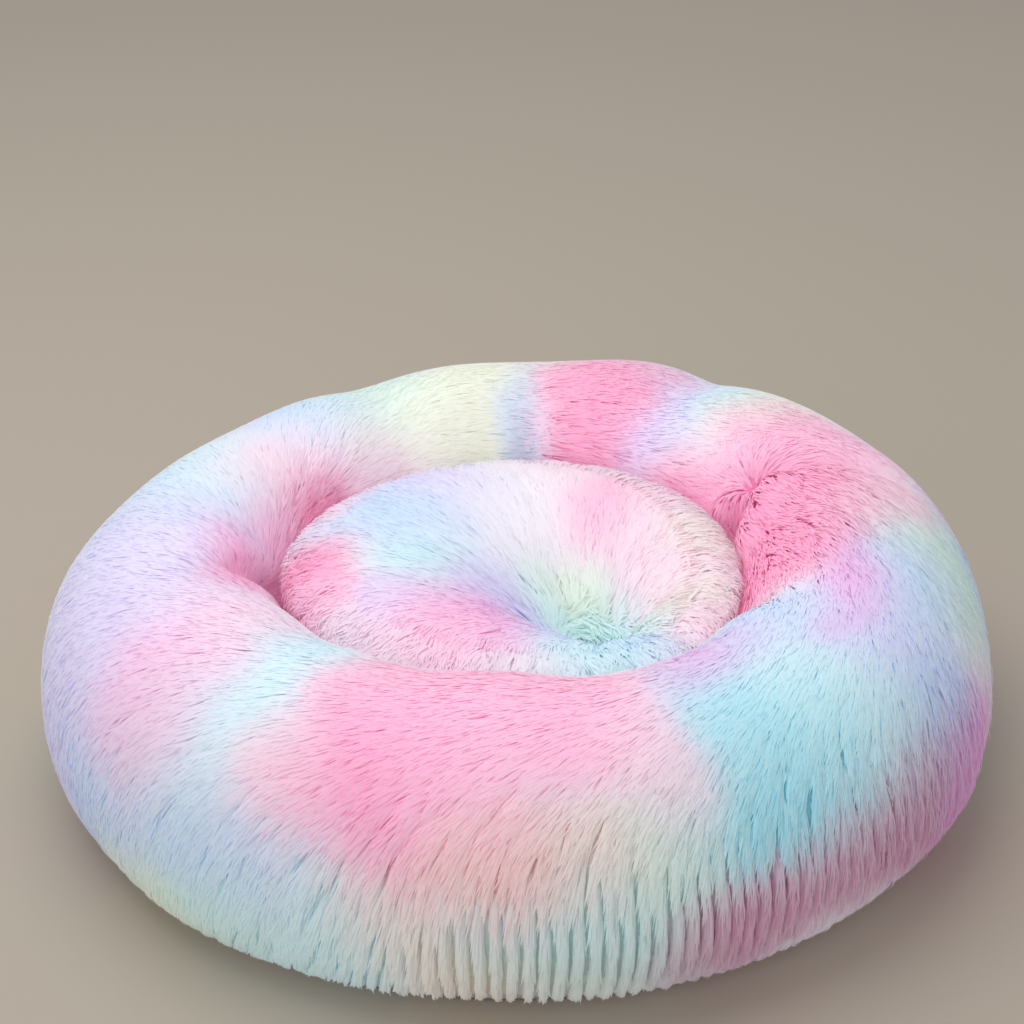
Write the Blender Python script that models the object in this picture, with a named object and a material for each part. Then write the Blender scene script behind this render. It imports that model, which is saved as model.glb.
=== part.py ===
"""Round plush pet bed: a stuffed fur rim around a tufted fur pad, sewn to one base panel.

Metres, +Z up. The origin is on the floor, at the middle of the base.
Every sewn piece is its own closed solid, SEAM_GAP clear of its neighbours.
"""
import math

import bmesh
import bpy
from mathutils import Vector

# Overall sizes, measured over the tips of the fur
OUTER_RADIUS = 0.350
RIM_HEIGHT = 0.200
CREST_RADIUS = 0.230        # where the rim is highest
BELLY_HEIGHT = 0.072        # where the rim is widest
NEST_RADIUS = 0.163         # inner side of the rim, where it meets the divider wall
NEST_DEPTH_HEIGHT = 0.082   # height of the rim cover's inner lip
RIM_SQUARENESS = 2.05       # superellipse exponent of the rim's shoulders

# Cloth: backing and pile together
RIM_PILE = 0.022
RIM_PILE_AT_LIP = 0.012
RIM_PILE_IN_CREASE = 0.005
PAD_PILE = 0.016
SEAM_GAP = 0.0004

# Pad: a low dome drawn down to an off-centre tuft
PAD_TOP = 0.180
PAD_EDGE_DROP = 0.038
PAD_EDGE_POWER = 7
TUFT_CENTRE = Vector((0.062, -0.030))
TUFT_DEPTH = 0.080
TUFT_WIDTH = 0.060
TUFT_HOLE_RADIUS = 0.008
PAD_FILLING_GAP = 0.0015    # measured straight down, so it still clears on the tuft's slopes

# Underside
PANEL_RADIUS = 0.2952
PANEL_THICKNESS = 0.0025
BINDING_WIDTH = 0.0066
BINDING_HEIGHT = 0.011
BINDING_LIFT = 0.0008       # the binding stays off the floor
BINDING_SQUARENESS = 3.5
FILLING_ROUNDING = 0.050    # the rim filling curves up inside the binding
FILLING_HEEL = 0.012        # how far below the lip the filling meets the divider wall
SKIRT_LIFT = 0.003          # lowest fur tips
SKIRT_RADIUS = 0.315

# Divider wall between the two fillings
WALL_THICKNESS = 0.0012
WALL_TOP = 0.104

# Centre tie
KNOT_RADIUS = 0.0072
KNOT_HEIGHT = 0.014
KNOT_LATITUDES = 7          # rings from end to end
KNOT_END_LATITUDE = 78      # degrees; the flat ends are there
TIE_RADIUS = 0.0015
TIE_CHANNEL_RADIUS = 0.004
PATCH_RADIUS = 0.020
PATCH_THICKNESS = 0.002

# Care label, folded flat under the fur at the back
LABEL_WIDTH = 0.024
LABEL_LENGTH = 0.034
LABEL_THICKNESS = 0.0008
LABEL_CORNER = 0.0025
LABEL_LIFT = 0.0010         # its lower face stays off the floor

SEGMENTS = 40               # all ring pieces share these, so their facets run parallel
SHARP_ANGLE = math.radians(50)
ARC_STEPS = 6
PAD_RINGS = 9


def clear_scene():
    for old in list(bpy.data.objects):
        bpy.data.objects.remove(old, do_unlink=True)


def make_material(name, colour, roughness, metallic=0.0):
    material = bpy.data.materials.new(name)
    material.use_nodes = True
    shader = material.node_tree.nodes["Principled BSDF"]
    shader.inputs["Base Color"].default_value = (*colour, 1.0)
    shader.inputs["Roughness"].default_value = roughness
    shader.inputs["Metallic"].default_value = metallic
    return material


def add_object(name, bm, material, location=(0.0, 0.0, 0.0)):
    """Close the mesh's normals outward and put it in the scene."""
    bmesh.ops.recalc_face_normals(bm, faces=bm.faces)
    mesh = bpy.data.meshes.new(name)
    bm.to_mesh(mesh)
    bm.free()
    mesh.shade_smooth()
    mesh.set_sharp_from_angle(angle=SHARP_ANGLE)
    mesh.materials.append(material)
    piece = bpy.data.objects.new(name, mesh)
    piece.location = location
    bpy.context.scene.collection.objects.link(piece)
    return piece


def spin_profile(name, profile, material, location=(0.0, 0.0, 0.0), segments=SEGMENTS):
    """Turn a closed (radius, height) outline that stays off the axis into a ring."""
    bm = bmesh.new()
    verts = [bm.verts.new((radius, 0.0, height)) for radius, height in profile]
    edges = [bm.edges.new((verts[i - 1], verts[i])) for i in range(len(verts))]
    bmesh.ops.spin(bm, geom=verts + edges, cent=(0, 0, 0), axis=(0, 0, 1),
                   angle=2 * math.pi, steps=segments, use_merge=True)
    bmesh.ops.remove_doubles(bm, verts=bm.verts, dist=1e-6)
    return add_object(name, bm, material, location)


def turn_solid(name, profile, material, location=(0.0, 0.0, 0.0), segments=SEGMENTS):
    """Turn an open outline, bottom to top, into a solid with flat ends."""
    bm = bmesh.new()
    rings = []
    for radius, height in profile:
        ring = []
        for step in range(segments):
            angle = 2 * math.pi * step / segments
            ring.append(bm.verts.new((radius * math.cos(angle), radius * math.sin(angle), height)))
        rings.append(ring)
    bm.faces.new(rings[0])
    bm.faces.new(rings[-1])
    bridge(bm, rings)
    return add_object(name, bm, material, location)


def bridge(bm, rings, closed=False):
    """Fill quads between neighbouring rings, and from the last to the first if closed."""
    pairs = list(zip(rings, rings[1:]))
    if closed:
        pairs.append((rings[-1], rings[0]))
    for lower, upper in pairs:
        for i in range(len(lower)):
            bm.faces.new((lower[i - 1], lower[i], upper[i], upper[i - 1]))


def quarter(centre, radial, vertical, start, stop, power=2.0, steps=ARC_STEPS):
    """Points on a superellipse quarter, angles in degrees; the last point is left out."""
    points = []
    for i in range(steps):
        angle = math.radians(start + (stop - start) * i / steps)
        cosine, sine = math.cos(angle), math.sin(angle)
        across = math.copysign(abs(cosine) ** (2 / power), cosine)
        up = math.copysign(abs(sine) ** (2 / power), sine)
        points.append((centre[0] + radial * across, centre[1] + vertical * up))
    return points


def rim_shell(inset_side, inset_top, inset_crease, foot):
    """The rim's section from its foot, over the crest, to its inner lip.

    The insets move the section in from the fur tips, and foot is (radius, height)
    of the lower outer end.
    """
    side = OUTER_RADIUS - inset_side
    top = RIM_HEIGHT - inset_top
    inner = NEST_RADIUS + inset_crease
    points = quarter((foot[0], BELLY_HEIGHT), side - foot[0], BELLY_HEIGHT - foot[1], -90, 0)
    points += quarter((CREST_RADIUS, BELLY_HEIGHT), side - CREST_RADIUS,
                      top - BELLY_HEIGHT, 0, 90, RIM_SQUARENESS)
    points += quarter((CREST_RADIUS, NEST_DEPTH_HEIGHT), CREST_RADIUS - inner,
                      top - NEST_DEPTH_HEIGHT, 90, 180)
    return points + [(inner, NEST_DEPTH_HEIGHT)]


def build_rim_cover(material):
    """A trough of fur cloth, open underneath, where the base panel closes it."""
    outside = rim_shell(0.0, 0.0, 0.0, (SKIRT_RADIUS, SKIRT_LIFT))
    foot = (SKIRT_RADIUS - RIM_PILE_AT_LIP, SKIRT_LIFT)
    inside = rim_shell(RIM_PILE, RIM_PILE, RIM_PILE_IN_CREASE, foot)
    return spin_profile("rim_cover", outside + inside[::-1], material)


def build_rim_filling(material):
    """The fibre ring inside the rim cover, flat where it lies on the base panel."""
    floor = PANEL_THICKNESS + SEAM_GAP
    foot = (PANEL_RADIUS - FILLING_ROUNDING, floor)
    top = rim_shell(RIM_PILE + SEAM_GAP, RIM_PILE + SEAM_GAP, RIM_PILE_IN_CREASE + SEAM_GAP, foot)
    heel = [(NEST_RADIUS, NEST_DEPTH_HEIGHT - FILLING_HEEL), (NEST_RADIUS, floor)]
    return spin_profile("rim_filling", top + heel, material)


def pad_height(x, y):
    """Height of the pad's fur tips: a dome with rounded edges and a deep tuft."""
    out = math.hypot(x, y) / pad_radius()
    tuft = math.hypot(x - TUFT_CENTRE.x, y - TUFT_CENTRE.y) / TUFT_WIDTH
    return PAD_TOP - PAD_EDGE_DROP * out ** PAD_EDGE_POWER - TUFT_DEPTH * math.exp(-tuft ** 1.4)


def pad_radius():
    return NEST_RADIUS - 2 * SEAM_GAP - WALL_THICKNESS


def pad_ring(bm, share, hole, edge, height):
    """One loop of the pad: share 0 is the hole round the tuft, share 1 the pad's edge."""
    ring = []
    for step in range(SEGMENTS):
        angle = 2 * math.pi * step / SEGMENTS
        way = Vector((math.cos(angle), math.sin(angle)))
        point = (TUFT_CENTRE + hole * way).lerp(edge * way, share)
        ring.append(bm.verts.new((point.x, point.y, height(point.x, point.y))))
    return ring


def eased(count):
    """Shares from 0 to 1 that crowd together at both ends."""
    return [0.5 - 0.5 * math.cos(math.pi * i / count) for i in range(count + 1)]


def build_pad_cover(material):
    """Fur cloth over the pad, gathered round a small hole at the tuft."""
    edge = pad_radius()
    bm = bmesh.new()
    over = [pad_ring(bm, share, TUFT_HOLE_RADIUS, edge, pad_height) for share in eased(PAD_RINGS)]
    under = [pad_ring(bm, share, TUFT_HOLE_RADIUS, edge, lambda x, y: pad_height(x, y) - PAD_PILE)
             for share in eased(PAD_RINGS)]
    bridge(bm, over + under[::-1], closed=True)
    return add_object("pad_cover", bm, material)


def build_pad_filling(material):
    """Fibre disc under the pad cover, with a channel for the tie."""
    edge = pad_radius()
    floor = PANEL_THICKNESS + PATCH_THICKNESS + 2 * SEAM_GAP

    def top(x, y):
        return pad_height(x, y) - PAD_PILE - PAD_FILLING_GAP

    at_channel = top(TUFT_CENTRE.x + TUFT_HOLE_RADIUS, TUFT_CENTRE.y)
    bm = bmesh.new()
    channel = pad_ring(bm, 0.0, TIE_CHANNEL_RADIUS, edge, lambda x, y: at_channel)
    over = [pad_ring(bm, share, TUFT_HOLE_RADIUS, edge, top) for share in eased(PAD_RINGS)]
    under = [pad_ring(bm, share, TIE_CHANNEL_RADIUS, edge, lambda x, y: floor) for share in (0.0, 1.0)]
    bridge(bm, [channel] + over + under[::-1], closed=True)
    return add_object("pad_filling", bm, material)


def build_divider_wall(material):
    """A cloth band that keeps the rim's and the pad's fillings apart."""
    outside = NEST_RADIUS - SEAM_GAP
    inside = outside - WALL_THICKNESS
    low = PANEL_THICKNESS + SEAM_GAP
    profile = [(outside, low), (outside, WALL_TOP), (inside, WALL_TOP), (inside, low)]
    return spin_profile("divider_wall", profile, material)


def build_base_panel(material):
    """The flat non-slip cloth that the bed stands on."""
    profile = [(PANEL_RADIUS, 0.0), (PANEL_RADIUS, PANEL_THICKNESS)]
    return turn_solid("base_panel", profile, material)


def build_edge_binding(material):
    """Tape sewn over the joined edges of the base panel and the rim cover."""
    inner = PANEL_RADIUS + SEAM_GAP
    centre = (inner + BINDING_WIDTH / 2, BINDING_LIFT + BINDING_HEIGHT / 2)
    profile = []
    for start in range(0, 360, 90):
        profile += quarter(centre, BINDING_WIDTH / 2, BINDING_HEIGHT / 2, start, start + 90,
                           BINDING_SQUARENESS, 2)
    return spin_profile("edge_binding", profile, material)


def tuft_floor():
    """Height of the fur at the edge of the tuft's hole."""
    return pad_height(TUFT_CENTRE.x + TUFT_HOLE_RADIUS, TUFT_CENTRE.y)


def knot_bottom():
    """The knot rests on the filling, below the fur's tips."""
    return tuft_floor() - PAD_PILE - PAD_FILLING_GAP + SEAM_GAP


def build_tuft_knot(material):
    """The bound end of the gathered cloth, deep in the tuft."""
    half = KNOT_HEIGHT / 2
    end = math.radians(KNOT_END_LATITUDE)
    profile = []
    for step in range(KNOT_LATITUDES):
        angle = end * (2 * step / (KNOT_LATITUDES - 1) - 1)
        profile.append((KNOT_RADIUS * math.cos(angle), half * math.sin(angle) / math.sin(end)))
    place = (TUFT_CENTRE.x, TUFT_CENTRE.y, knot_bottom() + half)
    return turn_solid("tuft_knot", profile, material, place, segments=16)


def build_tuft_tie(material):
    """Twisted thread that holds the knot down to the patch on the base."""
    low = PANEL_THICKNESS + PATCH_THICKNESS + 2 * SEAM_GAP
    high = knot_bottom() - SEAM_GAP
    profile = [(TIE_RADIUS, low), (TIE_RADIUS, high)]
    return turn_solid("tuft_tie", profile, material, (TUFT_CENTRE.x, TUFT_CENTRE.y, 0.0), segments=10)


def build_anchor_patch(material):
    """Round webbing patch that spreads the tie's pull over the base panel."""
    low = PANEL_THICKNESS + SEAM_GAP
    profile = [(PATCH_RADIUS, low), (PATCH_RADIUS, low + PATCH_THICKNESS)]
    return turn_solid("anchor_patch", profile, material, (TUFT_CENTRE.x, TUFT_CENTRE.y, 0.0), segments=24)


def build_care_label(material):
    """A blank folded label, sewn into the base seam at the back."""
    start = PANEL_RADIUS + SEAM_GAP + BINDING_WIDTH + SEAM_GAP
    bm = bmesh.new()
    bmesh.ops.create_cube(bm, size=1.0)
    bmesh.ops.scale(bm, vec=(LABEL_WIDTH, LABEL_LENGTH, LABEL_THICKNESS), verts=bm.verts)
    corners = [edge for edge in bm.edges
               if abs(edge.verts[0].co.z - edge.verts[1].co.z) > LABEL_THICKNESS / 2]
    bmesh.ops.bevel(bm, geom=corners, offset=LABEL_CORNER, segments=3, affect="EDGES")
    place = (0.0, start + LABEL_LENGTH / 2, LABEL_LIFT + LABEL_THICKNESS / 2)
    return add_object("care_label", bm, material, place)


def build():
    clear_scene()
    rim_fur = make_material("rim_fur", (0.93, 0.66, 0.78), 0.95)
    pad_fur = make_material("pad_fur", (0.88, 0.80, 0.90), 0.95)
    fibre = make_material("white_fibre", (0.93, 0.93, 0.91), 1.0)
    pad_fibre = make_material("pad_fibre", (0.91, 0.91, 0.89), 1.0)
    lining = make_material("lining_cloth", (0.82, 0.80, 0.78), 0.9)
    base_cloth = make_material("base_cloth", (0.30, 0.31, 0.33), 0.8)
    tape = make_material("binding_tape", (0.86, 0.72, 0.78), 0.85)
    gathered = make_material("gathered_cloth", (0.72, 0.82, 0.88), 0.95)
    thread = make_material("tie_thread", (0.85, 0.84, 0.82), 0.8)
    webbing = make_material("webbing", (0.75, 0.74, 0.72), 0.85)
    satin = make_material("label_satin", (0.95, 0.95, 0.94), 0.5)

    build_rim_cover(rim_fur)
    build_rim_filling(fibre)
    build_pad_cover(pad_fur)
    build_pad_filling(pad_fibre)
    build_divider_wall(lining)
    build_base_panel(base_cloth)
    build_edge_binding(tape)
    build_tuft_knot(gathered)
    build_tuft_tie(thread)
    build_anchor_patch(webbing)
    build_care_label(satin)


build()
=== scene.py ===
"""Looks of the round plush pet bed: long dyed pile on a stuffed rim and a tufted pad.

The pile is real geometry: tapered strands that start on the backing cloth, follow it
round the bed and gather into locks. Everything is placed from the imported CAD.
"""
import math

import bpy
import numpy as np
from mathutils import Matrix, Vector, kdtree


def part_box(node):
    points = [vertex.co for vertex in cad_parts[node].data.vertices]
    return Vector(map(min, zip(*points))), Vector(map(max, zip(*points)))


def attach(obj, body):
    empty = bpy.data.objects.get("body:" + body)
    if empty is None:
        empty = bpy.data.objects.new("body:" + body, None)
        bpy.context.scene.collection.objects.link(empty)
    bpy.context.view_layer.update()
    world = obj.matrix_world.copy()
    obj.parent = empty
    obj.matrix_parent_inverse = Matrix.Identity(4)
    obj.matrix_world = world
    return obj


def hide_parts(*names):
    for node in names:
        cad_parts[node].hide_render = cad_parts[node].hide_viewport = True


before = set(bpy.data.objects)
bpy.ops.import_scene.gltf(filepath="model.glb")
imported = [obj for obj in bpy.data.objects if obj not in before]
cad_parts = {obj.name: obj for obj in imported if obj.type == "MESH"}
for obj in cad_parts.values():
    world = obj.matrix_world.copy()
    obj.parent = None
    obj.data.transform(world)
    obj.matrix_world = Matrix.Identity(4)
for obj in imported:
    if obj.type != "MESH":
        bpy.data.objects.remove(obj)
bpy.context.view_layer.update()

# ---- sizes, from the CAD


def cad_box(name):
    low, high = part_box(name)
    return np.array(low), np.array(high)


def cad_radius(name):
    low, high = cad_box(name)
    return (high[0] - low[0]) / 2


OUTER_RADIUS = cad_radius("rim_cover")
RIM_TOP = cad_box("rim_cover")[1][2]
PAD_RADIUS = cad_radius("pad_cover")
PAD_TOP = cad_box("pad_cover")[1][2]
WALL_RADIUS = cad_radius("divider_wall")
WALL_LOW, WALL_HIGH = (corner[2] for corner in cad_box("divider_wall"))
PANEL_RADIUS = cad_radius("base_panel")
PANEL_TOP = cad_box("base_panel")[1][2]
BINDING_RADIUS = cad_radius("edge_binding")
KNOT_LOW, KNOT_HIGH = cad_box("tuft_knot")
TIE_LOW, TIE_HIGH = cad_box("tuft_tie")
PATCH_LOW, PATCH_HIGH = cad_box("anchor_patch")
LABEL_LOW, LABEL_HIGH = cad_box("care_label")
TUFT = (KNOT_LOW + KNOT_HIGH) / 2
TUFT_FLOOR = KNOT_HIGH[2] + 0.003

CREST_RADIUS = 0.657 * OUTER_RADIUS     # where the rim is highest
CREST_HEIGHT = RIM_TOP - 0.0045         # its height before the cloth settles
BELLY_HEIGHT = 0.38 * RIM_TOP           # where it is widest
LIP_HEIGHT = 0.41 * RIM_TOP             # where it meets the divider wall
FOOT_RADIUS = BINDING_RADIUS + 0.001
FOOT_HEIGHT = PANEL_TOP + 0.002

BACKING = 0.0016                        # thickness of the knitted cloth under the pile
RIM_GRID, PAD_GRID = (720, 150), (480, 120)     # points round and across the forms

RIM_STRANDS = 168000
PAD_STRANDS = 36000
STRANDS_PER_PIECE = 12000
RIM_LOCKS, PAD_LOCKS = 5200, 1100
RIM_COLUMNS = 200           # upright columns of locks round the rim's outer side
RINGS = 3                   # rings of three points along a strand, before its tip
CORNERS = [(0.0, 0.12), (-0.5, -0.05), (0.5, -0.05)]    # a ring's points, in widths of the strand
ROOT_DEPTH = 0.0015         # how far a strand starts under the backing's surface
LOCK_PITCH = 0.0095
ATLAS_CELLS = 110           # strands along each side of a piece's colour atlas
SHADE_STREAKS = 0.03              # share of the strands darkened as painted shade for the shadows between locks, and how deep their colour is
SHADE_STREAK_DEPTH = 0.90
WHITE_SHARE = 0.22          # undyed white in every mix of dyes
STRETCH, STRAY = 1.3, 2.6   # how far a strand may run on, as a share of its length, drawn in and at all

SLACK = 0.004               # how much smaller the cloth starts than it settles
SETTLE_FRAMES = 20
RIM_PRESSURE, PAD_PRESSURE = 300.0, 60.0
SETTLE_LIMIT = 0.012        # farthest that a point of the cloth may move


# ---- small helpers

def unit(vectors):
    return vectors / np.maximum(np.linalg.norm(vectors, axis=-1, keepdims=True), 1e-12)


def dot(a, b):
    return (a * b).sum(axis=-1, keepdims=True)


def smooth(low, high, x):
    t = np.clip((x - low) / (high - low), 0.0, 1.0)
    return t * t * (3 - 2 * t)


def angle_between(a, b):
    """Signed difference of two angles in radians, wrapped to -pi..pi."""
    return (a - b + np.pi) % (2 * np.pi) - np.pi


def bell(theta, degrees, wide):
    """1 at an angle given in degrees, fading to either side over wide radians."""
    return np.exp(-(angle_between(theta, math.radians(degrees)) / wide) ** 2)


def round_angles(count):
    """That many angles round a circle, as a column."""
    return np.linspace(-np.pi, np.pi, count, endpoint=False)[:, None]


def ring_at(centre, radius, height, count):
    """A level ring of points, in step with the forms' angles."""
    theta = round_angles(count)
    return np.hstack([centre[0] + radius * np.cos(theta), centre[1] + radius * np.sin(theta),
                      height + 0 * theta])


def mesh_object(name, verts, quads, triangles=()):
    """A smooth-shaded mesh object from arrays of vertices, quads and triangles."""
    loops = np.concatenate([np.asarray(quads, dtype=np.int32).ravel(),
                            np.asarray(triangles, dtype=np.int32).ravel()])
    sizes = np.repeat(np.array([4, 3], dtype=np.int32), [len(quads), len(triangles)])
    mesh = bpy.data.meshes.new(name)
    mesh.vertices.add(len(verts))
    mesh.vertices.foreach_set("co", np.asarray(verts, dtype=np.float32).ravel())
    mesh.loops.add(len(loops))
    mesh.loops.foreach_set("vertex_index", loops)
    mesh.polygons.add(len(sizes))
    mesh.polygons.foreach_set("loop_start", np.concatenate([[0], np.cumsum(sizes)[:-1]]).astype(np.int32))
    mesh.polygons.foreach_set("use_smooth", np.ones(len(sizes), dtype=bool))
    mesh.update(calc_edges=True)
    piece = bpy.data.objects.new(name, mesh)
    bpy.context.scene.collection.objects.link(piece)
    return piece


def add_colours(mesh, name, colours):
    layer = mesh.attributes.new(name, "FLOAT_COLOR", "POINT")
    rgba = np.ones((len(colours), 4), dtype=np.float32)
    rgba[:, :3] = colours
    layer.data.foreach_set("color", rgba.ravel())


def add_values(mesh, name, values):
    layer = mesh.attributes.new(name, "FLOAT", "POINT")
    layer.data.foreach_set("value", np.asarray(values, dtype=np.float32))


def linear(red, green, blue):
    """An sRGB colour, 0 to 255, as linear light."""
    srgb = np.array([red, green, blue]) / 255
    return np.where(srgb <= 0.04045, srgb / 12.92, ((srgb + 0.055) / 1.055) ** 2.4)


def grid_quads(around, across, wrap_across=False):
    """Quads of a grid of points, index around * across + place, that closes in its first direction."""
    i = np.arange(around)[:, None]
    j = np.arange(across if wrap_across else across - 1)[None, :]
    after, beside = (i + 1) % around, (j + 1) % across
    return np.stack([i * across + j, i * across + beside,
                     after * across + beside, after * across + j], axis=2).reshape(-1, 4)


# ---- the padded forms

def quarter(centre, radial, vertical, start, stop, power=2.0, count=40):
    """Points on a superellipse arc, angles in degrees."""
    angle = np.radians(np.linspace(start, stop, count))
    cosine, sine = np.cos(angle), np.sin(angle)
    across = np.sign(cosine) * np.abs(cosine) ** (2 / power)
    up = np.sign(sine) * np.abs(sine) ** (2 / power)
    return np.stack([centre[0] + radial * across, centre[1] + vertical * up], axis=1)


def evenly(line, count):
    """The same line with evenly spaced points, and its length."""
    run = np.concatenate([[0], np.cumsum(np.linalg.norm(np.diff(line, axis=0), axis=1))])
    even = np.linspace(0, run[-1], count)
    return np.stack([np.interp(even, run, line[:, k]) for k in range(line.shape[1])], axis=1), run[-1]


def rim_section(count):
    """(radius, height) of the fur's surface from the crease, over the crest, to the foot."""
    inner = WALL_RADIUS + 0.0004
    inside = quarter((CREST_RADIUS, LIP_HEIGHT), CREST_RADIUS - inner, CREST_HEIGHT - LIP_HEIGHT,
                     180, 90, 2.6)
    outside = quarter((CREST_RADIUS, BELLY_HEIGHT), OUTER_RADIUS - CREST_RADIUS,
                      CREST_HEIGHT - BELLY_HEIGHT, 90, 0, 2.05)
    under = quarter((FOOT_RADIUS, BELLY_HEIGHT), OUTER_RADIUS - FOOT_RADIUS,
                    BELLY_HEIGHT - FOOT_HEIGHT, 0, -90)
    return evenly(np.concatenate([inside, outside[1:], under[1:]]), count)


RIM_LENGTH = rim_section(2)[1]          # over the rim, from the crease to the foot
BACK_ASIDE = 0.009                      # how far the rim's back is pushed to the right

# Folds in the rim: from (angle in degrees, place across) to (angle, place), where place
# runs from 0 in the crease to 1 at the foot; then depth and half width in metres
FOLDS = [
    ((18, 0.08), (26, 0.30), 0.015, 0.014),       # deep pinch behind the right corner
    ((26, 0.27), (12, 0.60), 0.013, 0.011),       # from there out to the side, between two lobes
    ((27, 0.26), (37, 0.16), 0.009, 0.012),       # and a short arm to the left
    ((87, 0.00), (86, 0.34), 0.009, 0.011),       # notch at the back
    ((-176, 0.12), (-163, 0.34), 0.014, 0.015),   # from the left corner outwards
    ((160, 0.00), (156, 0.20), 0.006, 0.016),
    ((138, 0.00), (140, 0.22), 0.007, 0.014),
    ((-22, 0.02), (-30, 0.38), 0.005, 0.020),
    ((120, 0.30), (118, 0.75), 0.007, 0.030),
    ((60, 0.35), (56, 0.80), 0.007, 0.020),
    ((-112, 0.40), (-118, 0.80), 0.0025, 0.030),
]


FOLD_RADIUS = 0.24                      # middling distance of the folds from the bed's axis


def fold_distance(theta, share, start, stop):
    """Distance on the cloth from a fold's line, and how far along it the nearest point is."""
    x = angle_between(theta, np.radians(start[0])) * FOLD_RADIUS
    y = (share - start[1]) * RIM_LENGTH
    dx = math.radians(stop[0] - start[0]) * FOLD_RADIUS
    dy = (stop[1] - start[1]) * RIM_LENGTH
    along = np.clip((x * dx + y * dy) / (dx * dx + dy * dy), 0, 1)
    return np.hypot(x - along * dx, y - along * dy), along


def rim_lumps(theta, share):
    """How far the stuffed rim stands out of, or into, its even form."""
    out = 0.0026 * np.sin(3 * theta + 0.6 + 2.0 * share) * smooth(0.0, 0.3, share)
    out = out + 0.0018 * np.sin(7 * theta + 1.1 - 3.0 * share)
    out = out + 0.0012 * np.sin(13 * theta + 5.0 * share + 2.0)
    for start, stop, depth, width in FOLDS:
        away, along = fold_distance(theta, share, start, stop)
        fade = 1 - 0.75 * smooth(0.45, 1.0, along)
        out = out - depth * fade * np.exp(-(away / width) ** 2)
        out = out + 0.22 * depth * fade * np.exp(-((away - 2.3 * width) / (1.3 * width)) ** 2)
    return out


def column_strength(theta):
    """Where the pile of the rim's outer side hangs in upright columns: in front and at the right."""
    return smooth(-2.25, -1.65, theta) * (1 - smooth(0.25, 0.75, theta))


# Where the pile is ruffled: angle in degrees, place across the rim, half widths, how much
RUFFLED = [(8, 0.28, 24, 0.15, 0.45), (158, 0.16, 22, 0.12, 0.45), (72, 0.20, 14, 0.12, 0.30)]


def looseness(theta, share):
    """From 0 where the pile lies flat and even to 1 where it hangs in separate locks."""
    low = smooth(0.46, 0.76, share) * (0.40 + 0.60 * column_strength(theta))
    crease = 0.95 * (1 - smooth(0.05, 0.22, share))
    loose = np.maximum(low, crease)
    for angle, across, wide, high, much in RUFFLED:
        aside = angle_between(theta, math.radians(angle)) / math.radians(wide)
        loose = np.maximum(loose, much * np.exp(-aside ** 2 - ((share - across) / high) ** 2))
    return loose


def rim_pile(theta, share):
    """Depth of the pile, from its tips down to the backing cloth."""
    depth = 0.0022 + 0.0075 * looseness(theta, share) * (1 - 0.25 * (share < 0.3))
    return depth * (1 - 0.60 * smooth(0.86, 1.0, share))


def grid_normals(points):
    """Unit normals of a grid that closes in its first direction, pointing out."""
    around = np.roll(points, -1, axis=0) - np.roll(points, 1, axis=0)
    across = np.gradient(points, axis=1)
    return unit(np.cross(across, around))


class Form:
    """A surface as a dense grid: angle round the bed by place across it."""

    def __init__(self, points, flow, pile):
        self.points = points
        self.normals = grid_normals(points)
        self.around, self.across = points.shape[:2]
        self.flow = flow
        self.pile = pile

    def sample(self, count, rng, weight):
        """Random grid coordinates, even over the surface apart from weight(share)."""
        p = self.points
        edge_a = np.linalg.norm(np.roll(p, -1, axis=0) - p, axis=2)[:, :-1]
        edge_b = np.linalg.norm(np.diff(p, axis=1), axis=2)
        share = np.linspace(0, 1, self.across - 1)
        total = np.cumsum((edge_a * edge_b * weight(share)[None, :]).ravel())
        pick = (np.arange(count) + rng.random(count)) / count * total[-1]
        cell = np.minimum(np.searchsorted(total, pick), len(total) - 1)
        u = cell // (self.across - 1) + rng.random(count)
        v = cell % (self.across - 1) + rng.random(count)
        order = rng.permutation(count)
        return u[order], v[order]

    def at(self, u, v):
        """Positions, normals and the grid's two steps at grid coordinates."""
        v_inside = np.clip(v, 0, self.across - 1.001)
        i, j = np.floor(u).astype(int), np.floor(v_inside).astype(int)
        fu, fv = (u - i)[:, None], (v_inside - j)[:, None]
        i0, i1 = i % self.around, (i + 1) % self.around
        p, n = self.points, self.normals
        place = ((p[i0, j] * (1 - fu) + p[i1, j] * fu) * (1 - fv)
                 + (p[i0, j + 1] * (1 - fu) + p[i1, j + 1] * fu) * fv)
        normal = unit((n[i0, j] * (1 - fu) + n[i1, j] * fu) * (1 - fv)
                      + (n[i0, j + 1] * (1 - fu) + n[i1, j + 1] * fu) * fv)
        step_u = (p[i1, j] - p[i0, j]) * (1 - fv) + (p[i1, j + 1] - p[i0, j + 1]) * fv
        step_v = (p[i0, j + 1] - p[i0, j]) * (1 - fu) + (p[i1, j + 1] - p[i1, j]) * fu
        place = place + (v - v_inside)[:, None] * step_v
        return place, normal, step_u, step_v

    def lay(self, u, v):
        """Which way the pile lies at grid coordinates, and the way across it."""
        place, normal, _, step_v = self.at(u, v)
        out = unit(step_v - dot(step_v, normal) * normal)
        clockwise = np.cross(out, normal)
        lie = unit(self.flow(place, v / (self.across - 1), normal, out, clockwise))
        return place, normal, lie, np.cross(lie, normal)

    def walk(self, u, v, direction):
        """Grid steps that go one metre along a direction on the surface."""
        _, _, step_u, step_v = self.at(u, v)
        uu, vv, uv = dot(step_u, step_u), dot(step_v, step_v), dot(step_u, step_v)
        du, dv = dot(direction, step_u), dot(direction, step_v)
        scale = np.maximum(uu * vv - uv * uv, 1e-16)
        return ((du * vv - dv * uv) / scale)[:, 0], ((dv * uu - du * uv) / scale)[:, 0]


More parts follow.
